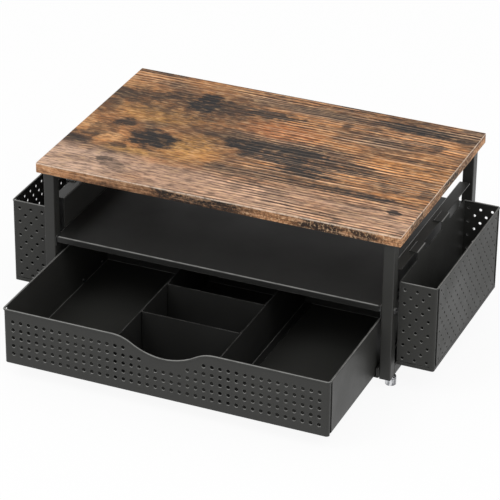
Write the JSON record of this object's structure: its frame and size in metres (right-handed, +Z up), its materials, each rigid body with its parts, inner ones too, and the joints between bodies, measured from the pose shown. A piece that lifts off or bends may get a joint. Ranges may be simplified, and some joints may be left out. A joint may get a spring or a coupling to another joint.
{
  "type": "monitor stand with drawer",
  "caption": "Desk monitor stand: wood-look board on black steel legs, with a shelf, a perforated pull-out drawer with dividers, and perforated pen baskets hooked on the sides.",
  "frame": {"origin": "on the desk surface, midway between the four feet", "axes": "+X to the user's right, +Y to the back, +Z up; the drawer opens towards -Y"},
  "size_m": [0.4958, 0.4003, 0.19],
  "materials": {
    "board": "satin",
    "powder_coat": "satin",
    "black_screw": "satin",
    "zinc": "satin",
    "foot_chrome": "polished",
    "nylon": "matte"
  },
  "bodies": {
    "stand": {"desktop_board": "board", "left_front_leg": "powder_coat", "left_rear_leg": "powder_coat", "right_front_leg": "powder_coat", "right_rear_leg": "powder_coat", "left_bottom_rail": "powder_coat", "right_bottom_rail": "powder_coat", "left_front_top_plate": "powder_coat", "left_rear_top_plate": "powder_coat", "right_front_top_plate": "powder_coat", "right_rear_top_plate": "powder_coat", "board_screws": "zinc", "leg_end_plugs": "nylon", "foot_inserts": "zinc", "shelf_tray": "powder_coat", "shelf_screws": "black_screw", "shelf_nuts": "zinc", "left_hanger": "powder_coat", "right_hanger": "powder_coat", "hanger_rivets": "black_screw", "left_runner": "powder_coat", "right_runner": "powder_coat"},
    "drawer": {"drawer_tray": "powder_coat", "drawer_front": "powder_coat", "drawer_left_divider": "powder_coat", "drawer_right_divider": "powder_coat", "drawer_front_divider": "powder_coat", "drawer_rear_divider": "powder_coat", "drawer_left_glide": "nylon", "drawer_right_glide": "nylon", "glide_rivets": "black_screw"},
    "left_basket": {"left_basket_front": "powder_coat", "left_basket_outer": "powder_coat", "left_basket_back": "powder_coat", "left_basket_hook_plate": "powder_coat", "left_basket_floor": "powder_coat"},
    "right_basket": {"right_basket_front": "powder_coat", "right_basket_outer": "powder_coat", "right_basket_back": "powder_coat", "right_basket_hook_plate": "powder_coat", "right_basket_floor": "powder_coat"},
    "left_front_foot": {"left_front_foot": "foot_chrome"},
    "left_rear_foot": {"left_rear_foot": "foot_chrome"},
    "right_front_foot": {"right_front_foot": "foot_chrome"},
    "right_rear_foot": {"right_rear_foot": "foot_chrome"}
  },
  "joints": [
    {"name": "drawer_slide", "type": "slide", "parent": "stand", "child": "drawer", "axis": [0, -1, 0], "range_m": [-0.1325, 0.0375]},
    {"name": "left_basket_lift", "type": "slide", "parent": "stand", "child": "left_basket", "axis": [0, 0, 1], "range_m": [0, 0.03]},
    {"name": "right_basket_lift", "type": "slide", "parent": "stand", "child": "right_basket", "axis": [0, 0, 1], "range_m": [0, 0.03]},
    {"name": "left_front_foot_turn", "type": "hinge", "parent": "stand", "child": "left_front_foot", "pos_m": [-0.19665, -0.1115, 0], "axis": [0, 0, 1], "continuous": true},
    {"name": "left_rear_foot_turn", "type": "hinge", "parent": "stand", "child": "left_rear_foot", "pos_m": [-0.19665, 0.1115, 0], "axis": [0, 0, 1], "continuous": true},
    {"name": "right_front_foot_turn", "type": "hinge", "parent": "stand", "child": "right_front_foot", "pos_m": [0.19665, -0.1115, 0], "axis": [0, 0, 1], "continuous": true},
    {"name": "right_rear_foot_turn", "type": "hinge", "parent": "stand", "child": "right_rear_foot", "pos_m": [0.19665, 0.1115, 0], "axis": [0, 0, 1], "continuous": true}
  ]
}
